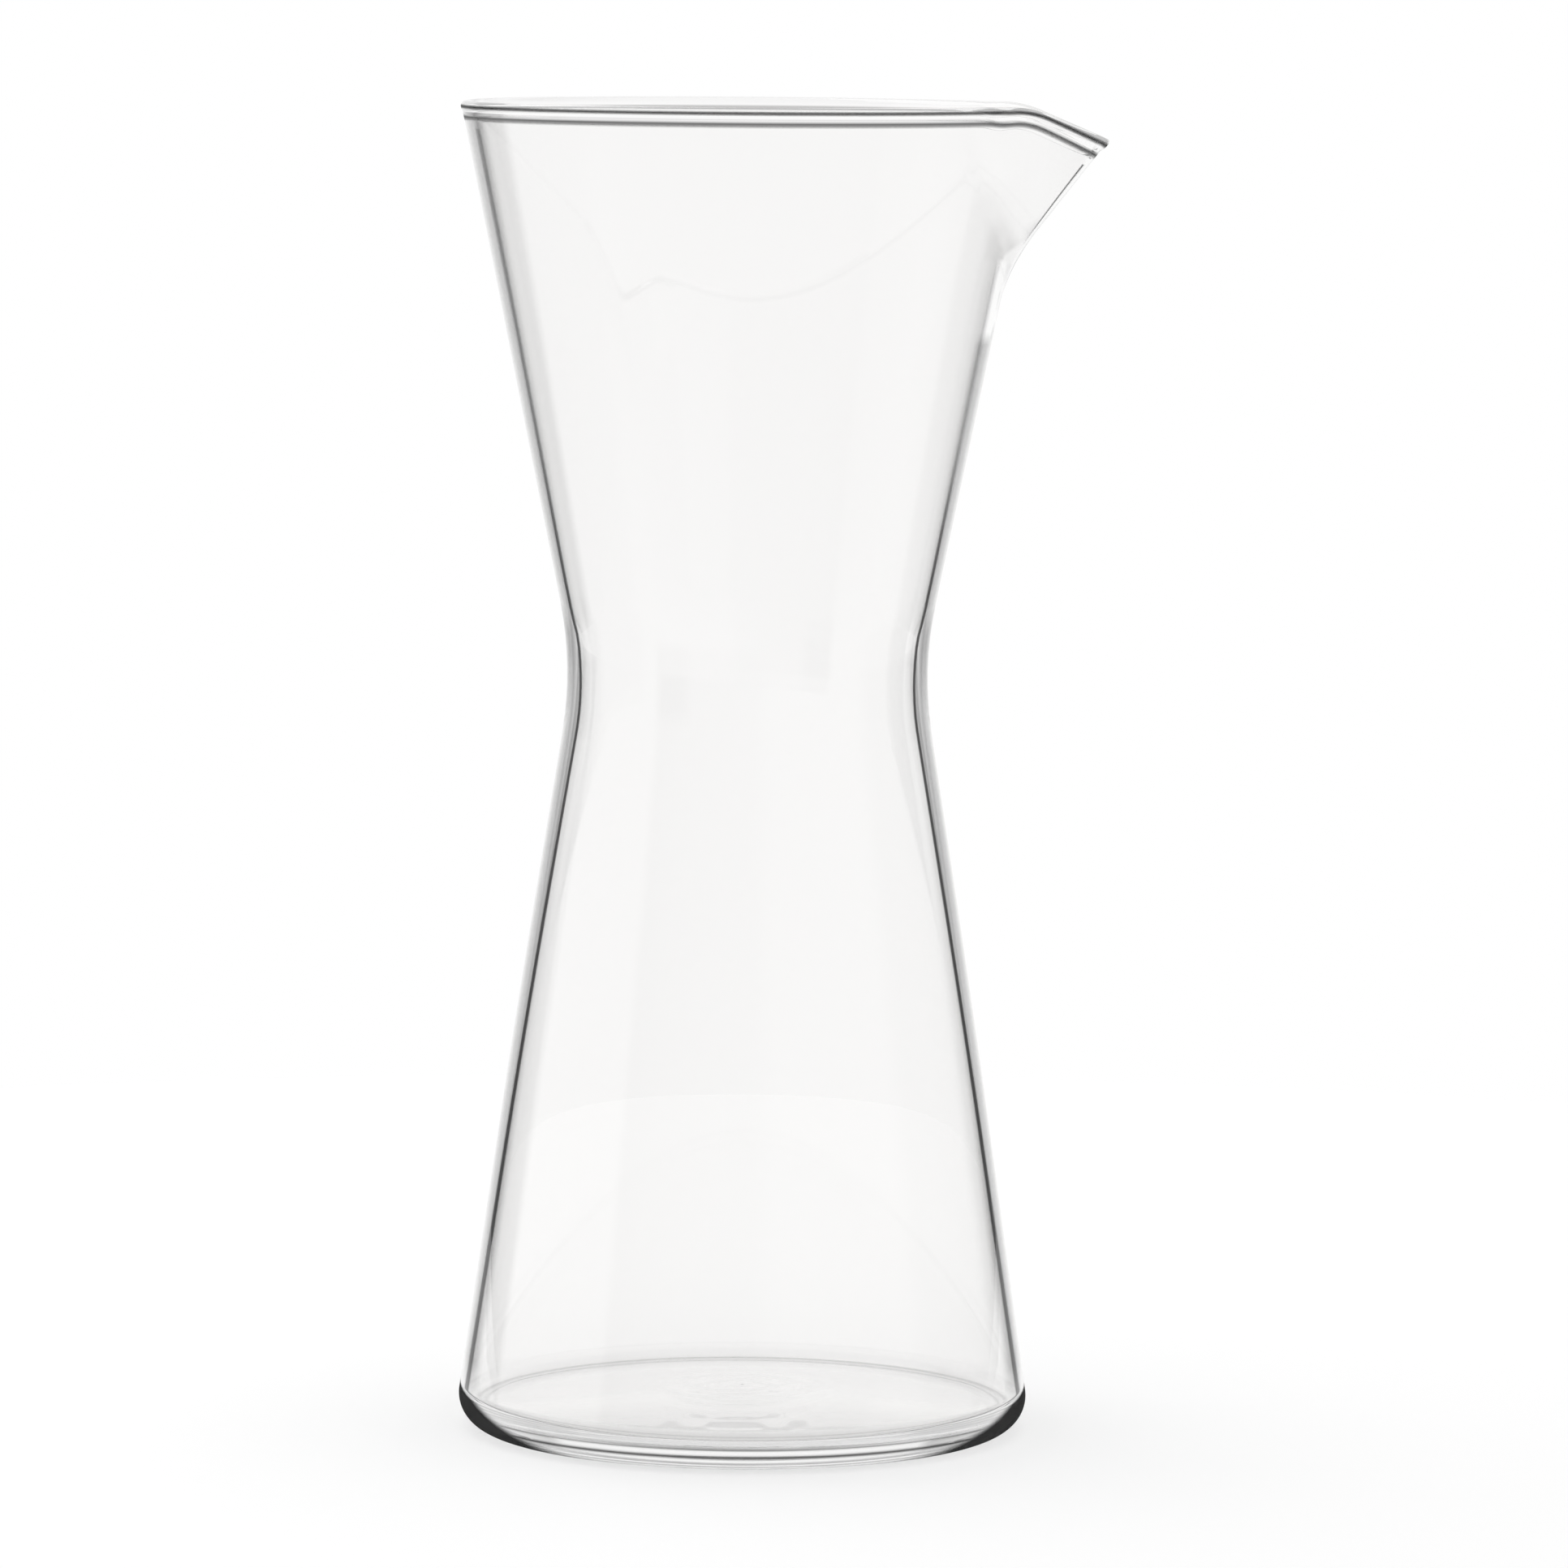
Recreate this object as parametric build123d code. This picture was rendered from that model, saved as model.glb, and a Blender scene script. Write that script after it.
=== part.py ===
from build123d import *
import os
from math import acos, atan2, cos, degrees, exp, pi, radians, sin, sqrt, tan

# A clear glass pitcher blown in one piece: two cones that meet in a narrow waist,
# a pulled pouring lip on the +X side, a fire-polished bead along the rim and a thick base.
# Millimetres, +Z up, origin in the middle of the foot, the body's axis on Z.

# Overall form, measured on the outside of the glass
height = 225.0
mouth_radius = 48.9
upper_slope = 0.2034
cone_meeting_radius = 29.55
foot_cone_radius = 49.2
lower_wall_bulge = 0.35
waist_arc_radius = 62.0

# Glass thickness
wall = 1.85
inner_meeting_radius = 27.5
inner_meeting_height = 127.0
inner_waist_arc_radius = 52.0

# Base
heel_radius = 5.6
standing_ring_inner_radius = 41.0
underside_rise = 1.9
floor_edge_height = 4.0
floor_centre_height = 7.2
floor_corner_radius = 2.6

# Pouring lip
lip_start_height = 191.0
lip_blend_height = 13.0
lip_reach_slope = 0.575
lip_nose_radius = 6.5
lip_thinning = 0.55
rim_drop_start = 42.5
rim_drop_angle = 23.5
rim_drop_arc_radius = 15.0

# Bead along the rim, a little fuller where the lip begins and at its tip
bead_radius = 1.2
bead_shoulder_swell = 0.2
bead_stand_out = 0.17
bead_tip_stand_out = 0.3

# Heights that follow from the form
cone_meeting_height = height - (mouth_radius - cone_meeting_radius) / upper_slope
lip_zone_start = lip_start_height - 6.0


def cone_radius(z):
    """Outer radius of the upper cone at height z."""
    return mouth_radius - upper_slope * (height - z)


def lip_reach(z):
    """How far the nose of the lip stands out from the upper cone at height z."""
    rise = z - lip_start_height
    if rise <= 0:
        return 0.0
    if rise < lip_blend_height:
        return lip_reach_slope * rise**2 / (2 * lip_blend_height)
    return lip_reach_slope * (rise - lip_blend_height / 2)


def skin_radius(angle, z, inset):
    """Distance from the axis to the glass in one direction, inset from the outer skin."""
    ring = cone_radius(z) - inset
    reach = lip_reach(z)
    if reach <= 0:
        return ring
    nose = lip_nose_radius - inset
    centre = ring + reach - nose
    tangent = acos((ring - nose) / centre)
    side = abs(angle)
    nose_end = atan2(nose * sin(tangent), centre + nose * cos(tangent))
    if side >= tangent:
        return ring
    if side >= nose_end:
        return ring / cos(tangent - side)
    return centre * cos(side) + sqrt(nose**2 - (centre * sin(side)) ** 2)


def rim_height(x):
    """Height of the rim's top: level round the mouth, running down along the lip."""
    run = x - rim_drop_start
    slope = tan(radians(rim_drop_angle))
    arc_run = rim_drop_arc_radius * sin(radians(rim_drop_angle))
    if run <= 0:
        return height
    if run < arc_run:
        return height - rim_drop_arc_radius + sqrt(rim_drop_arc_radius**2 - run**2)
    arc_drop = rim_drop_arc_radius * (1 - cos(radians(rim_drop_angle)))
    return height - arc_drop - slope * (run - arc_run)


def wall_thickness(angle, z):
    """Wall, measured level, which is drawn thinner where the lip was pulled out."""
    share = min(lip_reach(z) / 12, 1) * exp(-((degrees(angle) / 28) ** 2))
    return wall - lip_thinning * share


def bead_size(angle):
    """Radius of the bead in one direction, swollen at the two shoulders of the lip."""
    off = (abs(degrees(angle)) - 31) / 4
    return bead_radius + bead_shoulder_swell * exp(-(off**2))


def bead_inset(angle):
    """How far inside the outer skin the middle of the bead lies."""
    stand_out = bead_stand_out + bead_tip_stand_out * exp(-((degrees(angle) / 13) ** 2))
    return bead_size(angle) - stand_out


def bead_middle_height(angle):
    """Height of the middle of the bead in one direction round the mouth."""
    z = height - bead_radius
    for _ in range(12):
        r = skin_radius(angle, z, bead_inset(angle))
        z = rim_height(r * cos(angle)) - bead_size(angle)
    return z


def wall_curve(angle, inner, low, high):
    """Edge up the outer or inner skin in one direction, from height low to height high."""
    points = []
    for i in range(7):
        z = low + (high - low) * i / 6
        r = skin_radius(angle, z, wall_thickness(angle, z) if inner else 0.0)
        points.append(Vector(r * cos(angle), r * sin(angle), z))
    return Edge.make_spline(points)


def bead_curve(angle, middle, start, end):
    """Edge over the top of the bead, from the outer skin round to the inner skin."""
    points = []
    for i in range(7):
        turn = start + (end - start) * i / 6
        z = middle + bead_size(angle) * sin(turn)
        r = skin_radius(angle, z, bead_inset(angle) - bead_size(angle) * cos(turn))
        points.append(Vector(r * cos(angle), r * sin(angle), z))
    return Edge.make_spline(points)


def wall_section(angle):
    """Closed outline of the wall and its bead in the upright plane of one direction."""
    middle = bead_middle_height(angle)
    start = -acos(bead_inset(angle) / bead_size(angle))
    outer_top = middle + bead_size(angle) * sin(start)
    inner_top = middle
    for _ in range(12):
        thickness = wall_thickness(angle, inner_top)
        end = pi + acos((thickness - bead_inset(angle)) / bead_size(angle))
        inner_top = middle + bead_size(angle) * sin(end)
    outer = wall_curve(angle, False, lip_zone_start, outer_top)
    bead = bead_curve(angle, middle, start, end)
    inner = wall_curve(angle, True, lip_zone_start, inner_top)
    foot = Edge.make_line(outer @ 0, inner @ 0)
    return Wire([outer, bead, inner, foot])


def lip_zone():
    """Upper wall with the pouring lip and bead, lofted round one half and mirrored."""
    turns = [0, 1.5, 3, 4.5, 6, 8, 10, 13, 16, 20, 25, 30, 34, 37, 40, 45, 55]
    turns += [70, 88, 106, 124, 143, 162, 180]
    half = Solid.make_loft([wall_section(radians(turn)) for turn in turns])
    return half, mirror(half, about=Plane.XZ)


def turned_zone(inset, floor_line, waist_point, waist_radius):
    """Turned part of one skin as a solid, from the base up to where the lip begins."""
    top_point = (cone_radius(lip_zone_start) - inset, lip_zone_start)
    foot_point = (foot_cone_radius - inset, floor_line[-1][1])
    middle = (
        (waist_point[0] + foot_point[0]) / 2 + lower_wall_bulge,
        (waist_point[1] + foot_point[1]) / 2,
    )
    with BuildSketch(Plane.XZ) as profile:
        with BuildLine():
            Line((0, lip_zone_start), top_point)
            Line(top_point, waist_point)
            ThreePointArc(waist_point, middle, foot_point)
            if len(floor_line) == 3:
                Line(foot_point, floor_line[1])
                arc_end = floor_line[1]
            else:
                arc_end = foot_point
            crown = floor_line[0]
            ThreePointArc(arc_end, dome_point(crown[1], arc_end), crown)
            Line(crown, (0, lip_zone_start))
        make_face()
        fillet(near(profile, waist_point), waist_radius)
        corner = heel_radius if len(floor_line) == 3 else floor_corner_radius
        fillet(near(profile, foot_point), corner)
    return revolve(profile.sketch, Axis.Z).solid()


def dome_point(crown_height, edge):
    """Point halfway out on a dome, a piece of sphere centred on the axis."""
    rise = crown_height - edge[1]
    sphere_radius = (edge[0] ** 2 + rise**2) / (2 * rise)
    half = edge[0] / 2
    return (half, crown_height - sphere_radius + sqrt(sphere_radius**2 - half**2))


def near(sketch, point):
    """The sketch's corner nearest to a point given as radius and height."""
    return sketch.vertices().sort_by_distance(Vector(point[0], point[1], 0))[0]


def lower_vessel():
    """Wall and base up to where the lip begins: outer form less the hollow."""
    foot_line = [
        (0, underside_rise),
        (standing_ring_inner_radius, 0),
        (foot_cone_radius, 0),
    ]
    hollow_line = [(0, floor_centre_height), (foot_cone_radius - wall, floor_edge_height)]
    outer_waist = (cone_meeting_radius, cone_meeting_height)
    inner_waist = (inner_meeting_radius, inner_meeting_height)
    form = turned_zone(0, foot_line, outer_waist, waist_arc_radius)
    hollow = turned_zone(wall, hollow_line, inner_waist, inner_waist_arc_radius)
    return form - hollow


def glass_vessel():
    """The whole pitcher as one solid of glass."""
    halves = lip_zone()
    vessel = lower_vessel().fuse(*halves, tol=1e-3)
    return vessel.solid()


os.makedirs("parts", exist_ok=True)
export_step(glass_vessel(), "parts/glass_vessel.step")
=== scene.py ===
from math import acos, atan2, cos, degrees, exp, pi, radians, sin, sqrt, tan

import bpy
from mathutils import Matrix, Vector


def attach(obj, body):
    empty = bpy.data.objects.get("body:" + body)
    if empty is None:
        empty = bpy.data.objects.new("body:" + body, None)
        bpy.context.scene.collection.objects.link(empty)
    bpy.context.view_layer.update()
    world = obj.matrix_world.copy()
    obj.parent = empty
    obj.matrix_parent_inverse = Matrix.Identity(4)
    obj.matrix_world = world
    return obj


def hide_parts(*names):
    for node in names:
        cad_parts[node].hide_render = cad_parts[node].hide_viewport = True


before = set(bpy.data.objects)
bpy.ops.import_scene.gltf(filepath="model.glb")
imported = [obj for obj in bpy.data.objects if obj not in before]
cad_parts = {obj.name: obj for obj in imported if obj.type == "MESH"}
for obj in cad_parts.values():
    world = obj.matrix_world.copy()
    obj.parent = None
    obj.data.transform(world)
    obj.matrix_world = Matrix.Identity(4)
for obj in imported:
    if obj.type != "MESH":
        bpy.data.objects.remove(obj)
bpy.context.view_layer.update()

# Glass vessel
# One piece of clear soda-lime glass, blown to shape, its lip pulled out while hot and its
# rim fire-polished to a round bead. Modelled as one closed skin: for each direction round
# the axis a profile of rows, from the underside over the rim to the middle of the floor.

# Outer form: two cones that meet in a rounded waist, on a rounded heel.
height = 0.225
mouth_radius = 0.0489
upper_slope = 0.2034
meeting_radius = 0.02955
meeting_height = height - (mouth_radius - meeting_radius) / upper_slope
waist_arc = 0.062
foot_cone_radius = 0.0492
lower_bulge = 0.00035
heel_arc = 0.0056
standing_ring_radius = 0.041
underside_rise = 0.0019

# Inner form: the same cones less the wall, over a thick floor with a low crown.
wall = 0.00185
inner_meeting_radius = 0.0275
inner_meeting_height = 0.127
inner_waist_arc = 0.052
floor_edge_height = 0.004
floor_corner_arc = 0.0026
floor_centre_height = 0.0072
ripple_radius = 0.0185
ripple_height = 0.00006
ripple_spacing = 0.0011

# Lip and bead: the cone drawn out to a nose on the +X side, the rim falling along it.
lip_zone_start = 0.185
lip_start = 0.191
lip_blend = 0.013
lip_slope = 0.575
lip_nose = 0.0065
lip_thinning = 0.00055
drop_start = 0.0425
drop_angle = radians(23.5)
drop_arc = 0.015
bead_radius = 0.0012
bead_stand_out = 0.00017
shoulder_angle = 31
shoulder_swell = 0.0002
tip_stand_out = 0.0003

# Rows and columns of the skin.
columns = 384
wall_rows = 33
bead_rows = 25
underside_rows = 24
floor_rows = 88
longest_step = 0.006
solving_rounds = 12


def lip_reach(z):
    """How far the nose of the lip stands out from the upper cone."""
    rise = z - lip_start
    if rise <= 0:
        return 0.0
    if rise < lip_blend:
        return lip_slope * rise**2 / (2 * lip_blend)
    return lip_slope * (rise - lip_blend / 2)


def skin_radius(angle, z, inset):
    """Distance from the axis to the glass: the cone's circle, drawn out to a small nose."""
    ring = mouth_radius - upper_slope * (height - z) - inset
    reach = lip_reach(z)
    if reach <= 0:
        return ring
    nose = lip_nose - inset
    centre = ring + reach - nose
    tangent = acos((ring - nose) / centre)
    side = abs(angle)
    nose_end = atan2(nose * sin(tangent), centre + nose * cos(tangent))
    if side >= tangent:
        return ring
    if side >= nose_end:
        return ring / cos(tangent - side)
    return centre * cos(side) + sqrt(nose**2 - (centre * sin(side)) ** 2)


def rim_height(x):
    """Level round the mouth, then over a short arc down along the lip."""
    run = x - drop_start
    arc_run = drop_arc * sin(drop_angle)
    if run <= 0:
        return height
    if run < arc_run:
        return height - drop_arc + sqrt(drop_arc**2 - run**2)
    return height - drop_arc * (1 - cos(drop_angle)) - tan(drop_angle) * (run - arc_run)


def wall_thickness(angle, z):
    """The wall, drawn thinner where the lip was pulled out."""
    share = min(lip_reach(z) / 0.012, 1) * exp(-((degrees(angle) / 28) ** 2))
    return wall - lip_thinning * share


def bead_size(angle):
    """Radius of the bead, a little fuller at the two shoulders of the lip."""
    off = (abs(degrees(angle)) - shoulder_angle) / 4
    return bead_radius + shoulder_swell * exp(-(off**2))


def bead_inset(angle):
    """How far the middle of the bead lies inside the outer face, less at the lip's tip."""
    tip = tip_stand_out * exp(-((degrees(angle) / 13) ** 2))
    return bead_size(angle) - bead_stand_out - tip


def bead_middle(angle):
    """Height of the middle of the bead, which hangs from the falling rim."""
    z = height - bead_radius
    for _ in range(solving_rounds):
        r = skin_radius(angle, z, bead_inset(angle))
        z = rim_height(r * cos(angle)) - bead_size(angle)
    return z


def rounded(corners):
    """Points along straight runs whose corners are rounded to the given radii."""
    line = [Vector(corners[0][:2])]
    for before, here, after in zip(corners, corners[1:], corners[2:]):
        p = Vector(here[:2])
        a = (Vector(before[:2]) - p).normalized()
        b = (Vector(after[:2]) - p).normalized()
        half = a.angle(b) / 2
        back = here[2] / tan(half)
        centre = p + (a + b).normalized() * here[2] / sin(half)
        start = p + a * back - centre
        end = p + b * back - centre
        turn = start.angle_signed(end)
        count = max(3, int(14 * (pi - 2 * half) / 0.6))
        for i in range(count + 1):
            c = cos(-turn * i / count)
            s = sin(-turn * i / count)
            line.append(centre + Vector((start.x * c - start.y * s, start.x * s + start.y * c)))
    line.append(Vector(corners[-1][:2]))
    return line


def filled(line):
    """The same line with points added wherever a step is long."""
    out = [line[0]]
    for p, q in zip(line, line[1:]):
        count = max(1, int((q - p).length / longest_step))
        for i in range(1, count + 1):
            out.append(p.lerp(q, i / count))
    return out


def bulged(line, base):
    """The wall swollen a little between the foot and the waist."""
    out = []
    for p in line:
        u = min(max((p.y - base) / (meeting_height - base), 0.0), 1.0)
        swell = 16 * lower_bulge * u**2 * (1 - u) ** 2
        out.append(Vector((p.x + swell, p.y)) if p.x > 0.028 else p)
    return out


def dome(edge, crown, count):
    """Floor or underside from its edge to the axis, a piece of sphere."""
    rise = crown - edge.y
    sphere = (edge.x**2 + rise**2) / (2 * rise)
    out = []
    for i in range(1, count + 1):
        r = edge.x * (1 - i / count)
        out.append(Vector((max(r, 0.0), crown - sphere + sqrt(sphere**2 - r**2))))
    return out


def outer_rows():
    """From the middle of the underside round the heel and up to where the lip begins."""
    corners = [
        (standing_ring_radius + 0.0008, 0.0),
        (foot_cone_radius, 0.0, heel_arc),
        (meeting_radius, meeting_height, waist_arc),
        (mouth_radius - upper_slope * (height - lip_zone_start), lip_zone_start),
    ]
    under = dome(Vector((standing_ring_radius, 0.0)), underside_rise, underside_rows)
    ring = Vector((standing_ring_radius + 0.0001, 0.00002))
    return under[::-1] + [ring] + bulged(filled(rounded(corners)), 0.0)


def inner_rows():
    """From where the lip begins down the inner wall to the middle of the floor."""
    corners = [
        (mouth_radius - upper_slope * (height - lip_zone_start) - wall, lip_zone_start),
        (inner_meeting_radius, inner_meeting_height, inner_waist_arc),
        (foot_cone_radius - wall, floor_edge_height, floor_corner_arc),
        (0.040, floor_edge_height + 0.0008),
    ]
    line = bulged(filled(rounded(corners)), floor_edge_height)[:-1]
    return line + dome(line[-1], floor_centre_height, floor_rows)


def lip_rows(angle):
    """Outer wall, bead and inner wall of the lip zone in one direction."""
    middle = bead_middle(angle)
    size = bead_size(angle)
    inset = bead_inset(angle)
    start = -acos(inset / size)
    inner_top = middle
    for _ in range(solving_rounds):
        end = pi + acos((wall_thickness(angle, inner_top) - inset) / size)
        inner_top = middle + size * sin(end)
    out = []
    outer_top = middle + size * sin(start)
    for i in range(1, wall_rows + 1):
        z = outer_top - (outer_top - lip_zone_start) * (1 - i / (wall_rows + 1)) ** 2
        out.append((skin_radius(angle, z, 0.0), z))
    for i in range(bead_rows):
        turn = start + (end - start) * i / (bead_rows - 1)
        z = middle + size * sin(turn)
        out.append((skin_radius(angle, z, inset - size * cos(turn)), z))
    for i in range(1, wall_rows + 1):
        z = inner_top + (lip_zone_start - inner_top) * i / (wall_rows + 1)
        out.append((skin_radius(angle, z, wall_thickness(angle, z)), z))
    return out


def floor_ripple(r, angle):
    """Faint rings that the blowing left in the middle of the floor."""
    if r >= ripple_radius:
        return 0.0
    fade = (1.0 - (r / ripple_radius) ** 2) ** 2 * min(r / 0.006, 1.0) ** 2
    return ripple_height * fade * sin(r / ripple_spacing + 1.5 * cos(angle + 0.6))


def near(value, place, spread):
    return exp(-(((value - place) / spread) ** 2))


def painted_fold_shade_strength(j, r, z):
    """How much painted shade the glass gets where it folds: dark lines along the heel, the
    floor's edge, the bead.
    """
    if j < len(outside) and r > 0.043:
        return near(z, 0.0027, 0.00032) + 0.7 * near(z, 0.00405, 0.00018)
    if j > first_floor_row and r > 0.043:
        return 0.3 * near(z, 0.0045, 0.00011)
    # Painted shade for the rows just under and over the bead.
    painted_bead_crease_shade = {-6: 0.7, -5: 0.9, -4: 0.3, 3: 0.7, 4: 1.0, 5: 0.7, 21: 0.2, 22: 0.3}
    return painted_bead_crease_shade.get(j - first_bead_row, 0.0)


def painted_heel_shade_limit(j):
    """Facing value past which a row of the heel gets painted shade; 2 for rows that never do."""
    p = outside[j]
    if j >= len(outside) - 1 or p.y >= 0.0085 or p.x <= 0.0432:
        return 2.0
    along = (outside[j + 1] - outside[j - 1]).normalized()
    side = radians(42 + 26 * min(p.y / 0.007, 1.0))
    return 1.0 - 0.995 * along.y * cos(side) + 0.0986 * along.x


outside = outer_rows()
inside = inner_rows()
first_bead_row = len(outside) - 1 + wall_rows
first_floor_row = first_bead_row + bead_rows + wall_rows + 1
painted_heel_shade_limits = [painted_heel_shade_limit(j) for j in range(len(outside))]
verts = []
painted_fold_shade_values = []
painted_outline_shade_mask = []
painted_heel_shade_values = []
for k in range(columns):
    u = 2 * k / columns - 1
    angle = pi * (0.5 * u + 0.5 * u**3)
    profile = [(p.x, p.y) for p in outside[1:]]
    profile += lip_rows(angle)
    profile += [(p.x, p.y) for p in inside[:-1]]
    for j, (r, z) in enumerate(profile):
        if j > first_floor_row:
            z += floor_ripple(r, angle)
        on_lip = z > 0.187 and r * cos(angle) > 0.028
        verts.append((r * cos(angle), r * sin(angle), z))
        painted_fold_shade_values.append(painted_fold_shade_strength(j, r, z))
        painted_outline_shade_mask.append(1.0 if j < first_bead_row and z > 0.009 and not on_lip else 0.0)
        painted_heel_shade_values.append(painted_heel_shade_limits[j + 1] if j < len(outside) - 1 else 2.0)

rows = len(profile)
faces = []
inner_wall_faces = []
for k in range(columns):
    a = k * rows
    b = ((k + 1) % columns) * rows
    for j in range(rows - 1):
        if first_bead_row + bead_rows < j < rows - floor_rows - 4:
            inner_wall_faces.append(len(faces))
        faces.append((a + j, b + j, b + j + 1, a + j + 1))
underside_middle = len(verts)
floor_middle = len(verts) + 1
verts.append((0.0, 0.0, outside[0].y))
verts.append((0.0, 0.0, inside[-1].y))
for k in range(columns):
    a = k * rows
    b = ((k + 1) % columns) * rows
    faces.append((underside_middle, b, a))
    faces.append((floor_middle, a + rows - 1, b + rows - 1))

vessel_mesh = bpy.data.meshes.new("glass_vessel_visual")
vessel_mesh.from_pydata(verts, [], faces)
vessel_mesh.validate()
vessel_mesh.shade_smooth()
# These point attributes carry painted shade into the glass: dark lines at folds, a mask for the
# shaded outline and the limits of the heel's dark patch.
for name, values in (("painted_fold_shade", painted_fold_shade_values), ("skin", painted_outline_shade_mask), ("heel", painted_heel_shade_values)):
    layer = vessel_mesh.attributes.new(name, "FLOAT", "POINT")
    for i, value in enumerate(values):
        layer.data[i].value = value
vessel = bpy.data.objects.new("glass_vessel_visual", vessel_mesh)
bpy.context.collection.objects.link(vessel)


class Shade:
    """A shader socket that can be used in plain arithmetic."""

    def __init__(self, tree, out=None):
        self.tree = tree
        self.out = out

    def node(self, kind, settings=None, inputs=None, output=0):
        """Add a node to the same tree: its settings first, then values or links."""
        new = self.tree.nodes.new(kind)
        for key, value in (settings or {}).items():
            setattr(new, key, value)
        for key, value in (inputs or {}).items():
            if isinstance(value, Shade):
                self.tree.links.new(value.out, new.inputs[key])
            else:
                new.inputs[key].default_value = value
        return Shade(self.tree, new.outputs[output] if new.outputs else None)

    def math(self, operation, *others):
        terms = dict(enumerate((self,) + others))
        return self.node("ShaderNodeMath", {"operation": operation}, terms)

    def most(self, other):
        return self.math("MAXIMUM", other)

    def step(self, start, end):
        """Smooth rise from 0 where the value is start to 1 where it is end."""
        ends = {"Value": self, "From Min": start, "From Max": end, "To Min": 0.0, "To Max": 1.0}
        return self.node("ShaderNodeMapRange", {"interpolation_type": "SMOOTHSTEP"}, ends)

    def band(self, start, full, fall, end):
        """Smooth hump: 0 up to start, 1 from full to fall, 0 again from end."""
        return self.step(start, full) * (1.0 - self.step(fall, end))

    def mixed(self, first, second):
        """Two shaders mixed by this factor."""
        return self.node("ShaderNodeMixShader", {}, {"Fac": self, 1: first, 2: second})

    def __add__(self, other):
        return self.math("ADD", other)

    __radd__ = __add__

    def __sub__(self, other):
        return self.math("SUBTRACT", other)

    def __rsub__(self, other):
        return (self * -1.0) + other

    def __mul__(self, other):
        return self.math("MULTIPLY", other)

    __rmul__ = __mul__

    def __truediv__(self, other):
        return self.math("DIVIDE", other)

    def __pow__(self, other):
        return self.math("POWER", other)


# The glass is clear and almost without colour. Dark cards beside the studio's panels show in it,
# and on top of that thin dark lines at its folds and edges are painted shade, mixed in by painted
# masks and by how the wall faces the eye: facing is 0 where the wall is seen square on and 1 at
# its outline.


def clear_glass(name, is_inner_wall):
    glass = bpy.data.materials.new(name)
    glass.use_nodes = True
    glass.node_tree.nodes.clear()
    start = Shade(glass.node_tree)

    def ray(kind):
        return start.node("ShaderNodeLightPath", {}, {}, kind)

    def painted(attribute):
        return start.node("ShaderNodeAttribute", {"attribute_name": attribute}, {}, "Fac")

    def see_through(level):
        colour = (level, level, level, 1.0)
        return start.node("ShaderNodeBsdfTransparent", {}, {"Color": colour})

    almost_white = (0.970, 0.967, 0.964, 1.0)
    solid = {"Base Color": almost_white, "Roughness": 0.0, "IOR": 1.5, "Transmission Weight": 1.0}
    body = start.node("ShaderNodeBsdfPrincipled", {}, solid)

    facing = start.node("ShaderNodeLayerWeight", {}, {"Blend": 0.5}, "Facing")
    from_within = start.node("ShaderNodeNewGeometry", {}, {}, "Backfacing")
    # Painted shade: thin dark lines along the heel, the floor's edge and the bead's crease.
    painted_fold_shade = painted("painted_fold_shade") * 0.95
    # Painted shade: a dark patch on the heel where it is seen near edge on.
    heel = (facing - painted("heel")).step(0.0, 0.12) * 0.97
    # Painted shade: a grey band on the outer wall just inside its outline.
    edge = facing.band(0.62, 0.73, 0.73, 1.0) * painted("skin") * 0.45
    painted_shade_share = painted_fold_shade.most(heel).most(edge) * (1.0 - from_within)
    if is_inner_wall:
        place = start.node("ShaderNodeTexCoord", {}, {}, "Object")
        x = start.node("ShaderNodeSeparateXYZ", {}, {"Vector": place}, "X")
        z = start.node("ShaderNodeSeparateXYZ", {}, {"Vector": place}, "Z")
        # Painted shade: a thin dark line on the inner wall at one facing value, weaker high up
        # and towards the lip, and another along the lip.
        painted_wall_line = facing.band(0.2480, 0.2515, 0.2565, 0.2600)
        painted_wall_line = painted_wall_line * (1.0 - 0.65 * z.step(0.130, 0.180))
        painted_wall_line = painted_wall_line * (1.0 - 0.8 * x.step(0.020, 0.030) * z.step(0.150, 0.175))
        painted_lip_line = facing.band(0.215, 0.248, 0.260, 0.295)
        painted_lip_line = painted_lip_line * x.step(0.044, 0.048) * z.step(0.188, 0.196)
        painted_shade_share = painted_shade_share.most(painted_wall_line.most(painted_lip_line) * from_within * 0.95)
    # Painted shade: a near-black matt shader mixed into the glass by the share above.
    dark = start.node("ShaderNodeBsdfDiffuse", {}, {"Color": (0.012, 0.012, 0.012, 1.0)})
    body = painted_shade_share.mixed(body, dark)

    # Light that keeps running inside the wall is cut off after many turns, and the glass there
    # glows in an even painted grey.
    grey = start.node("ShaderNodeEmission", {}, {"Color": (0.55, 0.55, 0.55, 1.0)})
    body = ray("Ray Depth").step(16.0, 20.0).mixed(body, grey)

    # The shadow on the table is pale, and darkest below the outline.
    shadow = (facing**3.0).mixed(see_through(0.97), see_through(0.62))
    body = ray("Is Shadow Ray").most(ray("Is Diffuse Ray")).mixed(body, shadow)
    body.node("ShaderNodeOutputMaterial", {}, {"Surface": body})
    return glass


vessel_mesh.materials.append(clear_glass("clear_glass", False))
vessel_mesh.materials.append(clear_glass("clear_glass_inside", True))
for i in inner_wall_faces:
    vessel_mesh.polygons[i].material_index = 1

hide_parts("glass_vessel")
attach(vessel, "root")

# Floor
# A pale, matt, round table top that keeps the soft shadow of the glass. It lies a hair
# below the foot, so that the two never share a face.

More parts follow.
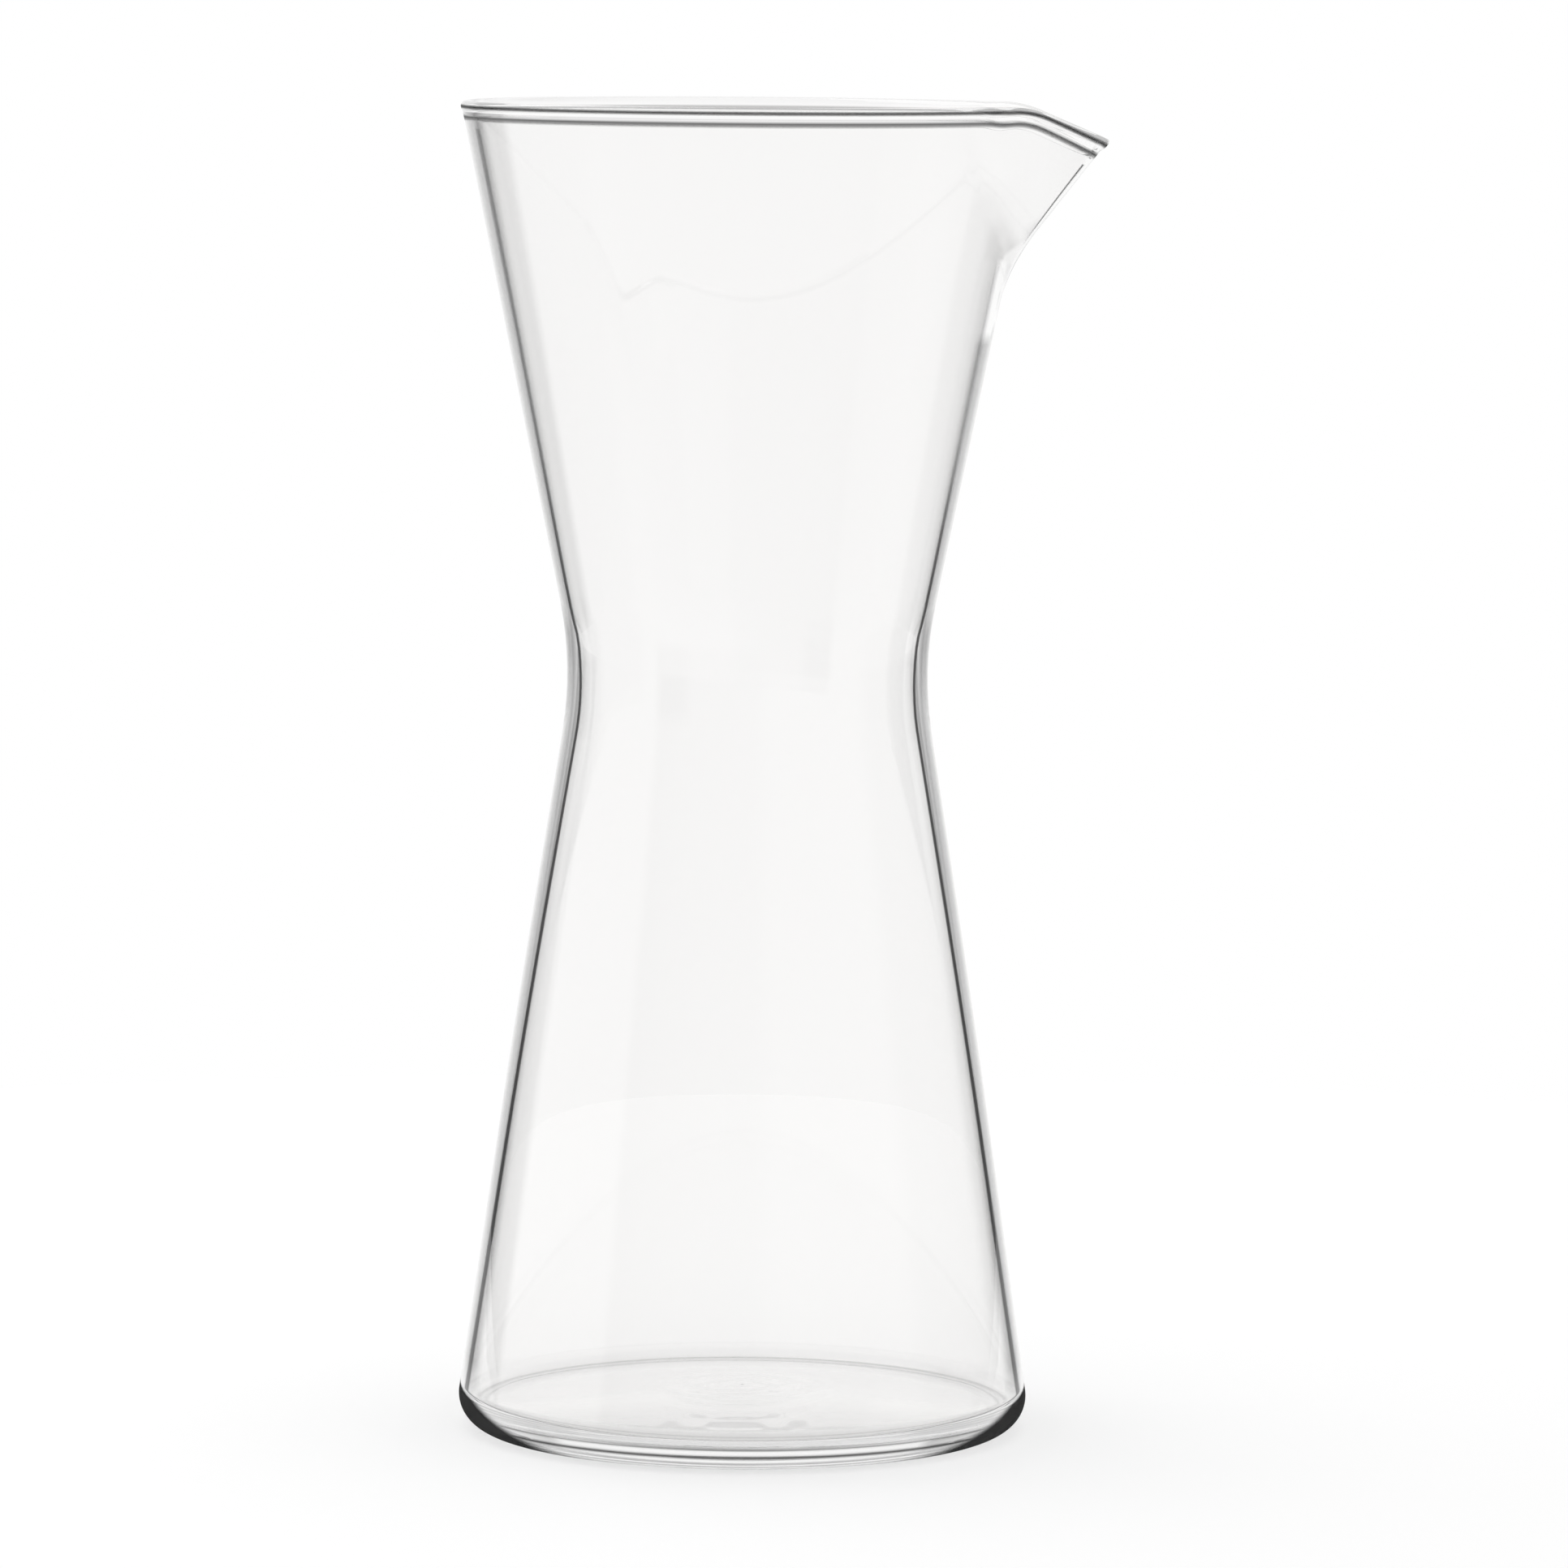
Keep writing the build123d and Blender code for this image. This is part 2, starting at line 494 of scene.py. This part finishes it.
floor_radius = 0.45
floor_sides = 96
floor_gap = 0.00005
floor_points = [(0.0, 0.0, 0.0)]
floor_faces = []
for i in range(floor_sides):
    turn = 2 * pi * i / floor_sides
    floor_points.append((floor_radius * cos(turn), floor_radius * sin(turn), 0.0))
    floor_faces.append((0, 1 + i, 1 + (i + 1) % floor_sides))
floor_mesh = bpy.data.meshes.new("floor")
floor_mesh.from_pydata(floor_points, [], floor_faces)
floor = bpy.data.objects.new("floor", floor_mesh)
floor.location.z = -floor_gap
bpy.context.collection.objects.link(floor)
pale_floor = bpy.data.materials.new("pale_floor")
pale_floor.use_nodes = True
matt = pale_floor.node_tree.nodes["Principled BSDF"]
matt.inputs["Base Color"].default_value = (0.98, 0.98, 0.98, 1.0)
matt.inputs["Roughness"].default_value = 1.0
matt.inputs["Specular IOR Level"].default_value = 0.0
floor_mesh.materials.append(pale_floor)

# Studio
# Bright panels behind and beside the glass, darker flanks next to them, pale walls and a
# dark ceiling. The camera itself sees plain white: only the glass sees the studio.

world = bpy.data.worlds.new("studio")
bpy.context.scene.world = world
world.use_nodes = True
world.node_tree.nodes.clear()
air = Shade(world.node_tree)
direction = air.node("ShaderNodeTexCoord", {}, {}, "Generated")
x = air.node("ShaderNodeSeparateXYZ", {}, {"Vector": direction}, "X")
y = air.node("ShaderNodeSeparateXYZ", {}, {"Vector": direction}, "Y")
z = air.node("ShaderNodeSeparateXYZ", {}, {"Vector": direction}, "Z")
level_length = (x * x + y * y).most(0.000001).math("SQRT")
east = x / level_length
north = y / level_length
west = east * -1.0
south = north * -1.0
south_east = (east - north) * 0.7071


def lobe(along, half_width, soft_edge):
    """Patch of the horizon, given the cosine of the angle from its middle, in degrees."""
    return along.step(cos(radians(half_width + soft_edge)), cos(radians(half_width - soft_edge)))


def blend(under, over, share):
    return under * (1.0 - share) + over * share


panels = lobe(north, 30, 2).most(lobe(south_east, 34, 8)).most(lobe(west, 30, 2))
flanks = lobe(north, 50, 6).most(lobe(west, 50, 6))
walls = 0.66 + 0.10 * east + 0.16 * lobe(south, 40, 30)
low_ring = blend(blend(walls, 0.36, flanks), 1.0, panels)
high_ring = blend(walls, 1.0, panels)
seen = blend(low_ring, high_ring, z.step(0.0, 0.07))
seen = blend(seen, 0.8, z.step(0.20, 0.36))
seen = blend(seen, 0.08, z.step(0.45, 0.65))
seen = blend(seen, 1.0, (z * -1.0).step(0.24, 0.34))
camera_ray = air.node("ShaderNodeLightPath", {}, {}, "Is Camera Ray")
glossy_ray = air.node("ShaderNodeLightPath", {}, {}, "Is Glossy Ray")
clear_ray = air.node("ShaderNodeLightPath", {}, {}, "Is Transmission Ray")
through = glossy_ray.most(clear_ray)
level = seen * through + camera_ray + 0.96 * ((1.0 - through) * (1.0 - camera_ray))
grey = air.node("ShaderNodeCombineColor", {}, {"Red": level, "Green": level, "Blue": level})
sky = air.node("ShaderNodeBackground", {}, {"Color": grey, "Strength": 1.0})
sky.node("ShaderNodeOutputWorld", {}, {"Surface": sky})

# Soft box
# A broad lamp above the pitcher, behind it and to its left, that gives the floor its soft
# shadow.

soft_box_data = bpy.data.lights.new("softbox", "AREA")
soft_box_data.shape = "RECTANGLE"
soft_box_data.size = 0.7
soft_box_data.size_y = 0.5
soft_box_data.energy = 1.3
soft_box = bpy.data.objects.new("softbox", soft_box_data)
soft_box.location = (-0.45, 0.35, 0.95)
aim = Vector((0.0, 0.0, 0.08)) - soft_box.location
soft_box.rotation_euler = aim.to_track_quat("-Z", "Y").to_euler()
bpy.context.collection.objects.link(soft_box)

# Camera
# A long lens, a little above the rim and tipped down, turned a trace as in the photo. Its
# focal length is worked out from the photo, in pixels.

photo_width = 1932.0
focal_length = 10520.0
sensor_width = 36.0
eye = (0.00632, -1.4389, 0.2529)
look_down = radians(5.676)
roll = radians(0.445)
lens = bpy.data.cameras.new("camera")
lens.sensor_width = sensor_width
lens.lens = sensor_width * focal_length / photo_width
lens.clip_end = 20.0
camera = bpy.data.objects.new("camera", lens)
tilted = Matrix.Rotation(radians(90.0) - look_down, 4, "X") @ Matrix.Rotation(roll, 4, "Z")
camera.matrix_world = Matrix.Translation(eye) @ tilted
bpy.context.collection.objects.link(camera)
bpy.context.scene.camera = camera
bpy.context.scene.view_settings.view_transform = "Standard"

# Light crosses many faces of a hollow glass, so it may turn often before it is cut off.
most_turns = 24
bpy.context.scene.cycles.max_bounces = most_turns
bpy.context.scene.cycles.transmission_bounces = most_turns
bpy.context.scene.cycles.glossy_bounces = most_turns
bpy.context.scene.cycles.transparent_max_bounces = most_turns
